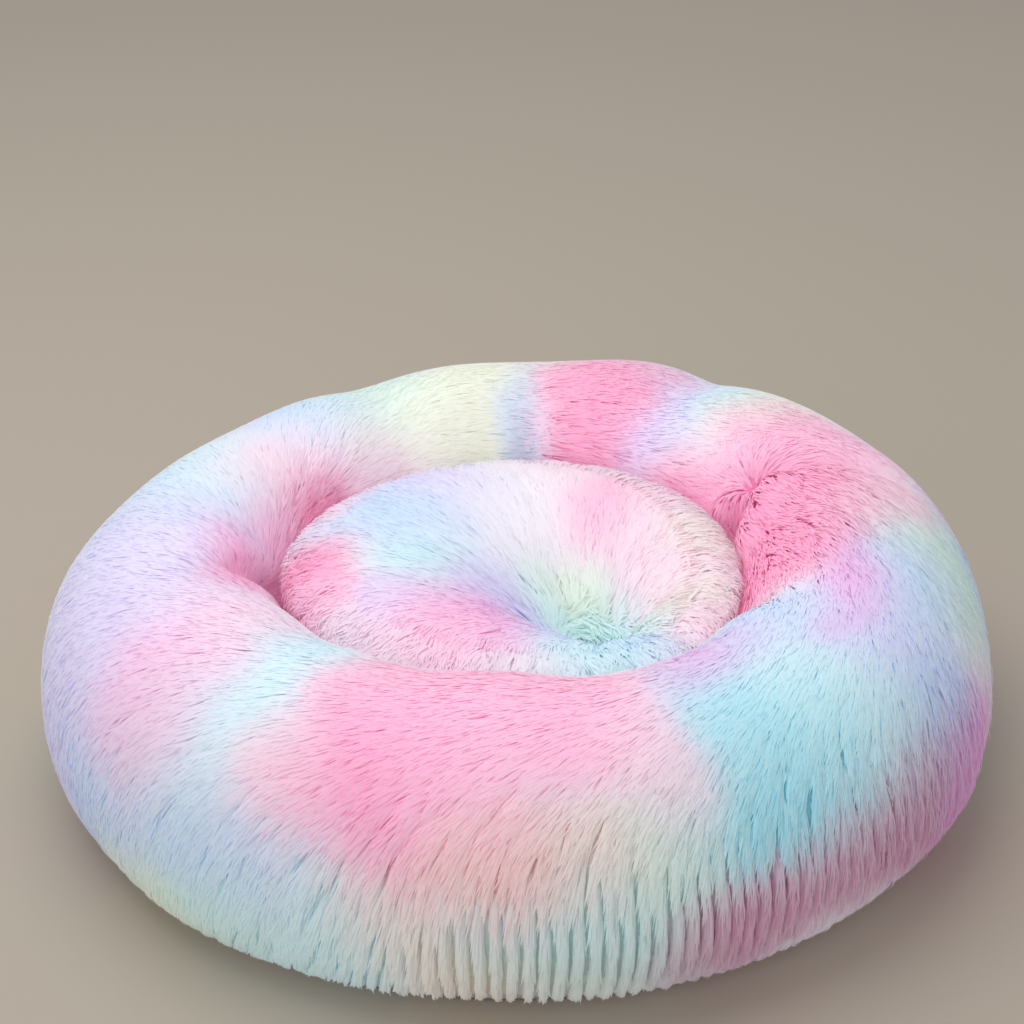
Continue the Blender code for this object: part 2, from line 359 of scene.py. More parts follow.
# Turn of the pile from straight out towards clockwise, in degrees, on the rim's crest
CREST_TURN = [(-180, 30), (-150, 42), (-125, 58), (-95, 72), (-60, 70), (-30, 66), (0, 60), (40, 66),
              (65, 80), (90, 88), (115, 78), (140, 52), (160, 34), (180, 30)]
STAR = (27, 0.25)


def rim_flow(place, share, normal, out, clockwise):
    theta = np.arctan2(place[:, 1], place[:, 0])
    crest = np.interp(np.degrees(theta), *zip(*CREST_TURN))
    low = 20 * smooth(-2.9, -2.2, theta) * (1 - smooth(-2.0, -1.6, theta))
    turn = crest + (112 - crest) * (1 - smooth(0.06, 0.26, share))
    turn = turn + (low - turn) * smooth(0.36, 0.76, share)
    turn = np.radians(turn)[:, None]
    lie = np.cos(turn) * out + np.sin(turn) * clockwise
    away = place - STAR_PLACE
    near = np.exp(-(np.linalg.norm(away, axis=1, keepdims=True) / 0.042) ** 2)
    away = unit(away - dot(away, normal) * normal)
    return lie * (1 - near) + away * near


def pad_flow(place, share, normal, out, clockwise):
    """Out from the tuft, but swirled in over its hole."""
    turn = (0.12 + 2.6 * (1 - smooth(0.01, 0.07, share)))[:, None]
    return np.cos(turn) * out + np.sin(turn) * clockwise


def rim_form(around, across):
    section = rim_section(across)[0]
    theta = round_angles(around)
    share = np.linspace(0, 1, across)[None, :]
    # Behind, the right side is fuller in plan than the left
    fuller = 0.044 * np.cos(theta) * np.maximum(np.sin(theta), 0) ** 2
    # and at the left in front the foot is drawn in
    drawn_in = 0.012 * bell(theta, -122, 0.60)
    radius = section[None, :, 0] + fuller * smooth(0.15, 0.55, share)
    radius = radius - drawn_in * smooth(0.55, 0.82, share) * (1 - smooth(0.84, 0.98, share))
    height = section[None, :, 1] + 0 * theta
    even = np.stack([radius * np.cos(theta), radius * np.sin(theta), height], axis=2)
    even[:, :, 0] += BACK_ASIDE * smooth(-0.12, 0.20, even[:, :, 1]) * smooth(0.10, 0.45, share)
    lumps = rim_lumps(theta, share) * (1 - smooth(0.86, 1.0, share)) * smooth(0.0, 0.06, share)
    points = even + (lumps - rim_pile(theta, share))[:, :, None] * grid_normals(even)
    return Form(points, rim_flow, rim_pile)


def pad_pile(theta, share):
    return 0.0024 + 0.0016 * (1 - smooth(0.0, 0.30, share)) + 0.0042 * smooth(0.68, 0.84, share) + 0 * theta


# Pleats drawn into the tuft: angle in degrees, half width in degrees, depth in metres
PLEATS = [(12, 16, 0.007), (62, 13, 0.006), (118, 15, 0.009), (165, 17, 0.006), (205, 14, 0.008),
          (262, 18, 0.006), (318, 14, 0.007)]


def pad_form(around, across):
    """From the tuft's hole over the crown and down the pad's rounded edge."""
    theta = round_angles(around)
    way = np.stack([np.cos(theta), np.sin(theta)], axis=2)
    share = np.linspace(0, 1, across)[None, :]
    hole, shoulder, bulge, drop = 0.0065, PAD_RADIUS - 0.032, 0.041, 0.024
    crown = np.clip(share / 0.74, 0, 1)[:, :, None] ** 0.85
    turn = np.radians(90 - 130 * np.clip((share - 0.74) / 0.26, 0, 1))
    middle = np.broadcast_to(TUFT[:2], (around, 1, 2)) + hole * way
    plan = middle * (1 - crown) + (shoulder + bulge * np.cos(turn))[:, :, None] * way * crown
    x, y = plan[:, :, 0], plan[:, :, 1]
    out = np.hypot(x, y) / shoulder
    rho = np.hypot(x - TUFT[0], y - TUFT[1])
    psi = np.arctan2(y - TUFT[1], x - TUFT[0])
    height = PAD_TOP - 0.004 * np.minimum(out, 1) ** 2 - drop * (1 - np.sin(turn))
    height = height - 1.05 * (PAD_TOP - TUFT_FLOOR) * np.exp(-(rho / 0.056) ** 1.5)
    for angle, width, depth in PLEATS:
        aside = angle_between(psi, math.radians(angle)) / math.radians(width)
        height = height - depth * np.exp(-aside ** 2) * np.exp(-((rho - 0.040) / 0.034) ** 2)
    height = height + 0.003 * np.sin(2.1 * np.arctan2(y, x) + 0.5) * np.minimum(out, 1) ** 2
    even = np.stack([x, y, height], axis=2)
    points = even - pad_pile(theta, share)[:, :, None] * grid_normals(even)
    return Form(points, pad_flow, pad_pile)


def fold_hold(theta, share):
    """How firmly the filling's ties hold the rim's cloth down in its folds."""
    held = 0 * theta * share
    for start, stop, depth, width in FOLDS:
        away, along = fold_distance(theta, share, start, stop)
        held = np.maximum(held, depth / FOLDS[0][2] * (1 - 0.6 * along) * np.exp(-(away / width) ** 2))
    return held


def rim_hold(theta, share):
    edges = np.maximum(1 - smooth(0.01, 0.05, share), smooth(0.90, 0.96, share))
    return np.maximum(edges, fold_hold(theta, share))


def pad_hold(theta, share):
    edges = np.maximum(1 - smooth(0.04, 0.12, share), smooth(0.92, 0.98, share))
    return edges + 0 * theta


def settled(form, held, pressure):
    """The form after its cloth is blown up from inside, held where held(theta, share) says."""
    normals = form.normals[::4, ::2]
    start = form.points[::4, ::2] - SLACK * normals
    around, across = start.shape[:2]
    theta = round_angles(around)
    share = np.linspace(0, 1, across)[None, :]
    piece = mesh_object("settling_cloth", start.reshape(-1, 3), grid_quads(around, across))
    group = piece.vertex_groups.new(name="held")
    for index, weight in enumerate(held(theta, share).ravel()):
        group.add([index], float(weight), "REPLACE")
    modifier = piece.modifiers.new("cloth", "CLOTH")
    cloth = modifier.settings
    cloth.quality = 6
    cloth.mass = 0.3
    cloth.tension_stiffness = cloth.compression_stiffness = 15
    cloth.shear_stiffness = 5
    cloth.bending_stiffness = 0.5
    cloth.air_damping = 2
    cloth.vertex_group_mass = "held"
    cloth.use_pressure = True
    cloth.uniform_pressure_force = pressure
    cloth.effector_weights.gravity = 0
    modifier.collision_settings.use_collision = False
    scene = bpy.context.scene
    for moment in range(1, SETTLE_FRAMES + 1):
        scene.frame_set(moment)
    shape = piece.evaluated_get(bpy.context.evaluated_depsgraph_get()).data
    end = np.empty(around * across * 3, dtype=np.float32)
    shape.vertices.foreach_get("co", end)
    bpy.data.objects.remove(piece)
    scene.frame_set(1)
    moved = dot(end.reshape(around, across, 3).astype(float) - start, normals)[:, :, 0] - SLACK
    moved = np.clip(moved - moved.mean(), -SETTLE_LIMIT, SETTLE_LIMIT)
    u = np.arange(form.around) / 4
    v = np.minimum(np.arange(form.across) / 2, across - 1.001)
    i, j = u.astype(int), v.astype(int)
    fu, fv = (u - i)[:, None], (v - j)[None, :]
    after = (i + 1) % around
    moved = ((moved[i][:, j] * (1 - fu) + moved[after][:, j] * fu) * (1 - fv)
             + (moved[i][:, j + 1] * (1 - fu) + moved[after][:, j + 1] * fu) * fv)
    return Form(form.points + moved[:, :, None] * form.normals, form.flow, form.pile)


# ---- dye

DYES = {name: linear(*srgb) for name, srgb in {
    "white": (240, 234, 241), "blush": (251, 216, 230), "pink": (252, 182, 215),
    # deep is painted shade: it is laid only in the crease and along the folds
    "rose": (250, 152, 196), "deep": (226, 104, 158), "orchid": (238, 172, 228),
    "lilac": (222, 214, 248), "sky": (196, 222, 248), "aqua": (204, 240, 246),
    "cyan": (164, 230, 242), "mint": (214, 240, 230), "cream": (240, 244, 222),
    "peach": (250, 212, 200), "mauve": (206, 148, 178), "stone": (240, 232, 222),
}.items()}

# Each dye's patches: angle round the bed in degrees, place across the rim (0 crease, 1 foot),
# and their half widths. Those behind, out of the photo's sight, are in the same manner.
RIM_PATCHES = {
    "lilac": [(-155, 0.50, 14, 0.20), (-30, 0.47, 8, 0.08), (-165, 0.80, 10, 0.12),
              (176, 0.46, 12, 0.20), (58, 0.30, 6, 0.12), (100, 0.66, 10, 0.12)],
    "pink": [(-141, 0.50, 9, 0.14), (-90, 0.36, 16, 0.06), (-100, 0.58, 12, 0.14),
             (-92, 0.44, 14, 0.08), (-80, 0.42, 9, 0.08), (26, 0.28, 12, 0.12), (66, 0.12, 9, 0.10),
             (34, 0.38, 8, 0.08), (140, 0.70, 14, 0.14), (84, 0.74, 12, 0.16)],
    "blush": [(-146, 0.36, 12, 0.10), (-120, 0.56, 5, 0.10), (-73, 0.52, 7, 0.10), (10, 0.44, 8, 0.06),
              (150, 0.30, 12, 0.10), (124, 0.16, 10, 0.10)],
    "aqua": [(-130, 0.50, 7, 0.16), (-127, 0.40, 8, 0.10), (-84, 0.78, 8, 0.08), (-44, 0.52, 9, 0.14),
             (-114, 0.84, 12, 0.10), (162, 0.42, 13, 0.16), (50, 0.44, 7, 0.10), (118, 0.72, 10, 0.16),
             (-178, 0.84, 10, 0.10)],
    "sky": [(-126, 0.72, 9, 0.10), (-30, 0.62, 8, 0.12), (-40, 0.34, 8, 0.08), (-14, 0.46, 9, 0.08),
            (-147, 0.78, 10, 0.10), (134, 0.42, 8, 0.12), (87, 0.20, 4, 0.16), (10, 0.76, 9, 0.14)],
    "rose": [(-109, 0.52, 9, 0.12), (-10, 0.32, 10, 0.07), (-6, 0.20, 12, 0.08), (9, 0.30, 14, 0.12),
             (36, 0.10, 14, 0.10), (-6, 0.10, 10, 0.10), (171, 0.14, 12, 0.10), (-168, 0.27, 10, 0.06),
             (150, 0.12, 12, 0.10), (72, 0.26, 9, 0.18), (78, 0.04, 16, 0.04)],
    "peach": [(-88, 0.66, 9, 0.07)],
    "mint": [(-77, 0.66, 9, 0.10), (0, 0.52, 10, 0.12), (-82, 0.84, 8, 0.08), (-128, 0.88, 10, 0.08),
             (120, 0.40, 8, 0.14), (74, 0.92, 12, 0.06)],
    "cyan": [(-57, 0.50, 9, 0.12), (-60, 0.64, 8, 0.08), (64, 0.68, 9, 0.14)],
    "orchid": [(-52, 0.34, 9, 0.06), (-22, 0.38, 9, 0.025), (-30, 0.43, 8, 0.03), (-26, 0.80, 9, 0.10),
               (28, 0.70, 10, 0.14)],
    "mauve": [(-40, 0.76, 12, 0.08), (-66, 0.84, 14, 0.06), (20, 0.92, 12, 0.06)],
    "stone": [(-92, 0.88, 8, 0.08), (-102, 0.80, 10, 0.10)],
    "cream": [(-140, 0.90, 8, 0.06), (110, 0.26, 12, 0.12), (96, 0.18, 8, 0.12), (98, 0.40, 10, 0.10),
              (43, 0.46, 7, 0.10), (46, 0.76, 10, 0.14), (160, 0.78, 10, 0.14), (128, 0.92, 14, 0.06)],
    # Painted shade: deep pink laid in the crease and along the folds, where the shade falls
    "deep": [(174, 0.03, 12, 0.03), (146, 0.13, 9, 0.06), (2, 0.04, 14, 0.06), (24, 0.20, 5, 0.06),
             (-160, 0.10, 12, 0.06)],
}

# On the pad: x and y in metres, and half width
PAD_PATCHES = {
    "pink": [(-0.126, -0.060, 0.026), (-0.050, -0.100, 0.034), (0.064, 0.074, 0.027)],
    "sky": [(-0.090, 0.046, 0.040), (0.034, -0.082, 0.024), (0.020, -0.050, 0.022),
            (0.091, -0.091, 0.024)],
    "aqua": [(-0.060, -0.030, 0.034), (0.045, -0.045, 0.036), (0.062, -0.030, 0.020),
             (0.060, -0.110, 0.030)],
    "lilac": [(-0.078, -0.080, 0.022), (-0.050, 0.100, 0.034), (-0.005, -0.025, 0.024)],
    "white": [(0.000, 0.095, 0.040)],
    "orchid": [(-0.014, -0.070, 0.036)],
    "cyan": [(0.040, -0.060, 0.020)],
    "cream": [(0.048, 0.012, 0.016)],
    "mint": [(0.040, -0.006, 0.026), (0.095, -0.060, 0.024), (0.051, -0.020, 0.022)],
    "blush": [(0.040, 0.125, 0.026), (0.120, 0.010, 0.034), (0.130, -0.070, 0.024),
              (0.110, 0.085, 0.028), (-0.135, 0.070, 0.024)],
    "rose": [(-0.150, -0.020, 0.026)],
    "stone": [(0.125, -0.035, 0.026), (0.140, 0.030, 0.020)],
}


def wander(x, y, z):
    """Two smooth uneven shifts, so that no patch of dye has a round edge."""
    first = np.sin(31 * x + 17 * z + 1.0) + np.sin(43 * y - 29 * x + 2.0) + 0.6 * np.sin(83 * x + 61 * y)
    second = np.sin(37 * y + 23 * z + 4.0) + np.sin(29 * x + 47 * z) + 0.6 * np.sin(71 * y - 67 * x + 3.0)
    return first, second


def blended(patches, weight):
    """White with the dyes mixed in, each as strongly as weight(*patch) says at each point."""
    total = WHITE_SHARE
    mixed = total * DYES["white"]
    for name, places in patches.items():
        for place in places:
            strength = weight(*place)[:, None]
            total, mixed = total + strength, mixed + strength * DYES[name]
    return mixed / total


def rim_dye(points, share):
    first, second = wander(*points.T)
    theta = np.arctan2(points[:, 1], points[:, 0]) + 0.030 * first
    across = share + 0.012 * second

    def weight(angle, middle, wide, high):
        aside = angle_between(theta, math.radians(angle)) / math.radians(wide)
        return np.exp(-0.9 * (aside ** 2 + ((across - middle) / high) ** 2))

    return blended(RIM_PATCHES, weight)


def pad_dye(points, share):
    first, second = wander(*points.T)
    x, y = points[:, 0] + 0.004 * first, points[:, 1] + 0.004 * second

    def weight(px, py, size):
        return np.exp(-0.9 * ((x - px) ** 2 + (y - py) ** 2) / size ** 2)

    return blended(PAD_PATCHES, weight)


# ---- pile

NEAREST = 8                 # seeds that a strand chooses its lock from


class Locks:
    """Seeds that the strands gather round, so that the pile lies in locks."""

    def __init__(self, form, count, columns, seed):
        rng = np.random.default_rng(seed)
        u, v = form.sample(count, rng, lambda share: 1 + 0 * share)
        if columns:
            # The rim's outer side hangs in upright columns
            share = v / (form.across - 1)
            theta = u / form.around * 2 * np.pi - np.pi
            step = form.around / columns
            snapped = np.round(u / step) * step + rng.normal(0, 0.05, count) * step
            pull = smooth(0.50, 0.64, share) * (0.4 + 0.6 * column_strength(theta))
            u = u + (snapped - u) * pull
        self.place, _, self.lie, self.side = form.lay(u, v)
        share = v / (form.across - 1)
        self.upright = smooth(0.50, 0.70, share) if columns else 1 - smooth(0.15, 0.55, share)
        self.sway = rng.normal(0, 1, count)
        self.size = rng.uniform(-1, 1, count)
        self.shade = rng.uniform(-1, 1, count)
        self.tree = kdtree.KDTree(count)
        for index, place in enumerate(self.place):
            self.tree.insert(place, index)
        self.tree.balance()

    def join(self, roots):
        """Each root's lock, and how far the root is from its middle: across and along it."""
        near = np.array([[index for _, index, _ in self.tree.find_n(root, NEAREST)] for root in roots])
        offset = roots[:, None, :] - self.place[near]
        across = (offset * self.side[near]).sum(axis=2)
        along = (offset * self.lie[near]).sum(axis=2)
        squash = 0.45 - 0.25 * self.upright[near]
        best = np.argmin(across ** 2 + (squash * along) ** 2, axis=1)
        row = np.arange(len(roots))
        return near[row, best], across[row, best], along[row, best]


def strand_lines(form, locks, u, v, settings, rng):
    """Centre lines of strands, their soft normals, their places across, their locks and widths."""
    count = len(u)
    roots, _, lie, side = form.lay(u, v)
    lock, across, along = locks.join(roots)
    theta = np.arctan2(roots[:, 1], roots[:, 0])
    look = settings(theta, v / (form.across - 1), rng)
    pile = form.pile(theta, v / (form.across - 1))
    sway = look["sway"] * rng.normal(0, 1, count) + look["lock_sway"] * locks.sway[lock]
    lie = unit(lie + sway[:, None] * side)
    size = locks.size[lock]
    length = look["length"] * (1 + (0.12 + 0.14 * look["loose"]) * size)
    tilt = np.clip(2 * across / LOCK_PITCH, -1.2, 1.2)
    stand = look["height"] * (1 + 0.12 * look["loose"] * size) * (1 - look["crown"] * tilt ** 2)
    step_u, step_v = form.walk(u, v, lie)
    lines, soft = [], []
    lock_side = locks.side[lock]
    bend = rng.normal(0, 0.03, count) * length
    for s in np.linspace(0, 1, RINGS + 1):
        here_v = v + step_v * length * s
        place, normal, _, _ = form.at(u + step_u * length * s, here_v)
        height = stand * np.minimum(pile, form.pile(theta, np.clip(here_v / (form.across - 1), 0, 1)))
        rise = -ROOT_DEPTH + (height + ROOT_DEPTH) * (1 - (1 - s) ** 3)
        pull = look["close"] + (look["gather"] - look["close"]) * s ** 1.2
        aside = bend * s ** 2 - pull * across
        back = -0.5 * look["gather"] * along * s ** 1.5
        lines.append(place + rise[:, None] * normal + aside[:, None] * lock_side + back[:, None] * lie)
        soft.append(normal + (look["roundness"] * tilt)[:, None] * lock_side + 0.18 * (s - 0.35) * lie)
    lines = np.stack(lines, axis=1)
    # Where the form is pinched to nothing a strand would run away over it: draw it in, or leave it out
    run = np.linalg.norm(np.diff(lines, axis=1), axis=2).sum(axis=1) / length
    lines = lines[:, :1] + (lines - lines[:, :1]) * np.minimum(1, STRETCH / run)[:, None, None]
    sound = run < STRAY
    middle = np.clip((v + step_v * length * 2 / 3) / (form.across - 1), 0, 1)
    return (lines[sound], np.stack(soft, axis=1)[sound], middle[sound], lock[sound],
            look["width"][sound])


def strand_mesh(name, lines, soft, width, colours, strand_value):
    """Tapered three-sided strands along the centre lines, each closed at its root and tip."""
    count = len(lines)
    s = np.linspace(0, 1, RINGS + 1)
    taper = (0.60 + 0.40 * np.sin(np.pi * np.minimum(s + 0.15, 1) ** 0.8)) * (1 - s ** 2.6)
    tangent = unit(np.gradient(lines, axis=1))
    across = unit(np.cross(tangent, soft))
    out = np.cross(across, tangent)
    rings, normals = [], []
    for a, b in CORNERS:
        corner = a * across + b * out
        rings.append(lines + corner * taper[None, :, None] * width[:, None, None])
        normals.append(unit(unit(soft) + 0.25 * corner))
    per = RINGS * 3 + 1
    body = np.stack(rings, axis=2)[:, :RINGS].reshape(count, RINGS * 3, 3)
    verts = np.concatenate([body, lines[:, RINGS:]], axis=1).reshape(-1, 3)
    body = np.stack(normals, axis=2)[:, :RINGS].reshape(count, RINGS * 3, 3)
    normals = np.concatenate([body, unit(soft[:, RINGS:])], axis=1).reshape(-1, 3)
    base = (np.arange(count) * per)[:, None, None]
    quads = [[ring * 3 + k, ring * 3 + (k + 1) % 3, ring * 3 + 3 + (k + 1) % 3, ring * 3 + 3 + k]
             for ring in range(RINGS - 1) for k in range(3)]
    last = (RINGS - 1) * 3
    triangles = [[last + k, last + (k + 1) % 3, per - 1] for k in range(3)] + [[2, 1, 0]]
    quads = (base + np.array(quads)[None]).reshape(-1, 4)[:, ::-1]
    triangles = (base + np.array(triangles)[None]).reshape(-1, 3)[:, ::-1]
    piece = mesh_object(name, verts, quads, triangles)
    mesh = piece.data
    along = np.concatenate([np.repeat(s[:RINGS], 3), [1.0]])
    add_colours(mesh, "dye", np.repeat(colours, per, axis=0))
    add_values(mesh, "along", np.tile(along, count))
    add_values(mesh, "strand", np.repeat(strand_value, per))
    add_atlas(mesh, per, along)
    # The underside of each strand faces down, and the rest is shaded like the surface of the pile
    down = np.repeat(-unit(out), [3] * RINGS + [1], axis=1).reshape(-1, 3)
    under = [np.arange(len(quads)) % 3 == 1, np.arange(len(triangles)) % len(CORNERS + [0]) == 1]
    corner_normals = []
    for faces, below in zip((quads, triangles), under):
        facing = normals[faces]
        facing[below] = down[faces[below]]
        corner_normals.append(facing.reshape(-1, 3))
    mesh.normals_split_custom_set(np.concatenate(corner_normals))
    return piece


def add_atlas(mesh, per, along):
    """One cell of the colour atlas for each strand, with its length up the cell."""
    index = np.empty(len(mesh.loops), dtype=np.int32)
    mesh.loops.foreach_get("vertex_index", index)
    strand, corner = index // per, index % per
    sidestep = np.where(corner == per - 1, 0.5, 0.3 + 0.2 * (corner % 3))
    uv = np.stack([(strand % ATLAS_CELLS + sidestep) / ATLAS_CELLS,
                   (strand // ATLAS_CELLS + 0.15 + 0.7 * along[corner]) / ATLAS_CELLS], axis=1)
    layer = mesh.uv_layers.new(name="OFBake")
    layer.data.foreach_set("uv", uv.astype(np.float32).ravel())


def grow_fur(prefix, form, locks, total, dye, weight, settings, material, slot, seed):
    """Pieces of fur that cover a form."""
    rng = np.random.default_rng(seed)
    u, v = form.sample(total, rng, weight)
    for number, start in enumerate(range(0, total, STRANDS_PER_PIECE), 1):
        part = slice(start, min(start + STRANDS_PER_PIECE, total))
        lines, soft, middle, lock, width = strand_lines(form, locks, u[part], v[part], settings, rng)
        count = len(lines)
        lines[:, :, 2] = np.maximum(lines[:, :, 2], 0.0015 + 0.001 * rng.random(count)[:, None])
        colours = dye(lines[:, 2], middle)
        # Painted shade: a few thin strands in a darker, deeper version of their colour stand in for the
        # shadows between locks
        painted_streak = rng.random(count) < SHADE_STREAKS
        colours[painted_streak] = SHADE_STREAK_DEPTH * colours[painted_streak] ** 1.7
        width = np.where(painted_streak, 0.6 * width, width)
        value = np.clip(0.5 + 0.25 * locks.shade[lock] + 0.25 * rng.uniform(-1, 1, count), 0, 1)
        piece = strand_mesh(f"{prefix}_{number:02d}", lines, soft, width, colours, value)
        settle(piece, material, slot)


def strand_looks(rng, loose, length, uneven, lift, **looks):
    """Looks of the strands, one value each; loose, from 0 to 1, says how separate their locks are."""
    count = len(loose)
    return dict(looks, loose=loose,
                length=length * rng.uniform(0.75, 1.08, count),
                height=1 - (1 - rng.uniform(0, 1, count) ** 0.7) * (0.25 + 0.35 * uneven) + lift,
                width=(0.0028 - 0.0008 * loose) * rng.uniform(0.8, 1.2, count))


def rim_settings(theta, share, rng):
    loose = looseness(theta, share)
    low = smooth(0.48, 0.72, share)
    columns = low * (0.35 + 0.65 * column_strength(theta))
    free = loose * (1 - columns)
    return strand_looks(
        rng, loose, 0.026 + 0.005 * low - 0.012 * smooth(0.90, 1.0, share),
        uneven=loose * (1 - 0.8 * columns), lift=0, crown=0.70 * columns, close=0.42 * columns,
        gather=0.04 + 0.36 * free + 0.46 * columns, roundness=0.04 + 0.50 * loose + 0.30 * columns,
        sway=0.06 + 0.16 * free - 0.035 * columns, lock_sway=0.05 + 0.24 * free - 0.035 * columns)


def pad_settings(theta, share, rng):
    near = 1 - smooth(0.08, 0.50, share)
    edge = smooth(0.66, 0.84, share)
    loose = 0.08 + 0.20 * near + 0.65 * edge
    return strand_looks(
        rng, loose, 0.027 + 0.004 * near, uneven=loose, lift=0.3 * edge, crown=0.45 * near,
        close=0.30 * near, gather=0.04 + 0.45 * loose + 0.30 * near, roundness=0.04 + 0.50 * loose,
        sway=0.07 + 0.25 * loose - 0.05 * near, lock_sway=0.06 + 0.25 * loose - 0.03 * near)


# ---- materials

def new_material(name, roughness=0.5, sheen=0.0):
    material = bpy.data.materials.new(name)
    material.use_nodes = True
    shader = material.node_tree.nodes["Principled BSDF"]
    shader.inputs["Roughness"].default_value = roughness
    shader.inputs["Sheen Weight"].default_value = sheen
    return material, material.node_tree, shader


def node(tree, kind, **values):
    made = tree.nodes.new("ShaderNode" + kind)
    for key, value in values.items():
        if key in made.inputs:
            made.inputs[key].default_value = value
        else:
            setattr(made, key, value)
    return made


def attribute(tree, name):
    return node(tree, "Attribute", attribute_name=name).outputs


def texture(tree, kind, scale, turn=(0, 0, 0), **values):
    """A texture in the piece's own space, turned by three angles."""
    made = node(tree, "Tex" + kind, Scale=scale, **values)
    place = node(tree, "TexCoord")
    mapping = node(tree, "Mapping", Rotation=turn)
    tree.links.new(place.outputs["Object"], mapping.inputs["Vector"])
    tree.links.new(mapping.outputs["Vector"], made.inputs["Vector"])
    return made.outputs


def ranged(tree, value, low, high):
    """A value from 0 to 1 made to run from low to high."""
    made = node(tree, "MapRange")
    made.inputs["To Min"].default_value = low
    made.inputs["To Max"].default_value = high
    tree.links.new(value, made.inputs["Value"])
    return made.outputs["Result"]


def combined(tree, operation, first, second):
    made = node(tree, "Math", operation=operation)
    tree.links.new(first, made.inputs[0])
    tree.links.new(second, made.inputs[1])
    return made.outputs["Value"]


def coloured(tree, shader, colour, value, saturation=1.0):
    """Gives the shader a colour or a socket's colour, made lighter or darker by value."""
    tint = node(tree, "HueSaturation", Saturation=saturation)
    if isinstance(colour, bpy.types.NodeSocket):
        tree.links.new(colour, tint.inputs["Color"])
    else:
        tint.inputs["Color"].default_value = (*colour, 1)
    tree.links.new(value, tint.inputs["Value"])
    tree.links.new(tint.outputs["Color"], shader.inputs["Base Color"])
    return tint


def bumped(tree, shader, height, strength, distance):
    bump = node(tree, "Bump", Strength=strength, Distance=distance)
    tree.links.new(height, bump.inputs["Height"])
    tree.links.new(bump.outputs["Normal"], shader.inputs["Normal"])


def fur_material():
    """Dyed pile: deeper colour at the roots, paler tips, and each strand a little different."""
    material, tree, shader = new_material("dyed_fur", 0.65, 0.20)
    along, strand = attribute(tree, "along")["Fac"], attribute(tree, "strand")["Fac"]
    value = combined(tree, "MULTIPLY", ranged(tree, along, 0.93, 1.01), ranged(tree, strand, 0.96, 1.02))
    tint = coloured(tree, shader, attribute(tree, "dye")["Color"], value)
    tree.links.new(ranged(tree, along, 1.15, 0.98), tint.inputs["Saturation"])
    # Painted light: a faint glow in each strand's own colour stands in for the light that real strands pass
    # on to each other, and lifts the shade between them
    tree.links.new(tint.outputs["Color"], shader.inputs["Emission Color"])
    shader.inputs["Emission Strength"].default_value = 0.12
    shader.inputs["Sheen Roughness"].default_value = 0.5
    return material


def backing_material():
    """Knitted backing cloth under the pile, in the same dye, made more saturated as painted shade for the
    gaps between the strands.
    """
    material, tree, shader = new_material("dyed_backing", 0.9)
    knit = texture(tree, "Voronoi", 420.0)["Distance"]
    coloured(tree, shader, attribute(tree, "dye")["Color"], ranged(tree, knit, 0.90, 1.0), 1.35)
    bumped(tree, shader, knit, 0.4, 0.001)
    return material


def fibre_material():
    """White hollow-fibre stuffing: crossed fine hairs, a little shiny."""
    material, tree, shader = new_material("hollow_fibre", 0.7, 0.3)
    bend = texture(tree, "Noise", 60.0, Detail=3.0)["Fac"]
    hairs = texture(tree, "Noise", 900.0, Detail=4.0, Distortion=2.5)["Fac"]
    crossed = combined(tree, "MULTIPLY", bend, hairs)
    ramp = node(tree, "ValToRGB")
    ramp.color_ramp.elements[0].color = (0.70, 0.70, 0.68, 1)
    ramp.color_ramp.elements[1].color = (0.96, 0.96, 0.95, 1)
    ramp.color_ramp.elements[1].position = 0.45
    tree.links.new(crossed, ramp.inputs["Fac"])
    tree.links.new(ramp.outputs["Color"], shader.inputs["Base Color"])
    bumped(tree, shader, crossed, 0.6, 0.002)
    return material


def woven_material(name, colour, threads, roughness, twill=0.0, sheen=0.0):
    """Cloth with warp and weft threads that many to the metre; twill slants them."""
    material, tree, shader = new_material(name, sheen=sheen)
    warp, weft = (texture(tree, "Wave", threads / 20, (0.3 * turn, 0.3 * turn, turn), Distortion=0.6,
                          Detail=1.0, **{"Detail Scale": 2.0})["Fac"]
                  for turn in (twill, math.pi / 2 - twill))
    weave = combined(tree, "MAXIMUM", warp, weft)
    uneven = texture(tree, "Noise", 40.0, Detail=4.0)["Fac"]
    value = combined(tree, "MULTIPLY", ranged(tree, weave, 0.72, 1.0), ranged(tree, uneven, 0.85, 1.12))
    coloured(tree, shader, colour, value)
    bumped(tree, shader, weave, 0.5, 0.0005)
    tree.links.new(ranged(tree, uneven, roughness - 0.08, roughness + 0.08), shader.inputs["Roughness"])
    return material


def rubber_material():
    """Moulded non-slip dots, dulled by dust."""
    material, tree, shader = new_material("dot_rubber")
    dust = texture(tree, "Noise", 220.0, Detail=5.0)["Fac"]
    coloured(tree, shader, linear(196, 198, 204), ranged(tree, dust, 0.8, 1.1))
    tree.links.new(ranged(tree, dust, 0.42, 0.68), shader.inputs["Roughness"])
    return material


# ---- build

def settle(piece, material, slot, *stands_for):
    """A piece's material, the body it rides on, and the CAD nodes it stands for; slot is not used."""
    piece.data.materials.append(material)
    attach(piece, "root")
    if stands_for:
        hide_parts(*stands_for)
    return piece


def stuffing(name, form, upto, rings, material, stands_for):
    """Fibre under a form's cloth, closed by rings of points below."""
    skin = (form.points - 2.5 * BACKING * form.normals)[::2, :upto:2]
    around = len(skin)
    rings = [ring_at(centre, radius, height, around)[:, None] for centre, radius, height in rings]
    section = np.concatenate([skin, *rings], axis=1)
    piece = mesh_object(name, section.reshape(-1, 3), grid_quads(around, section.shape[1], True))
    settle(piece, material, "fibre_filling", stands_for)


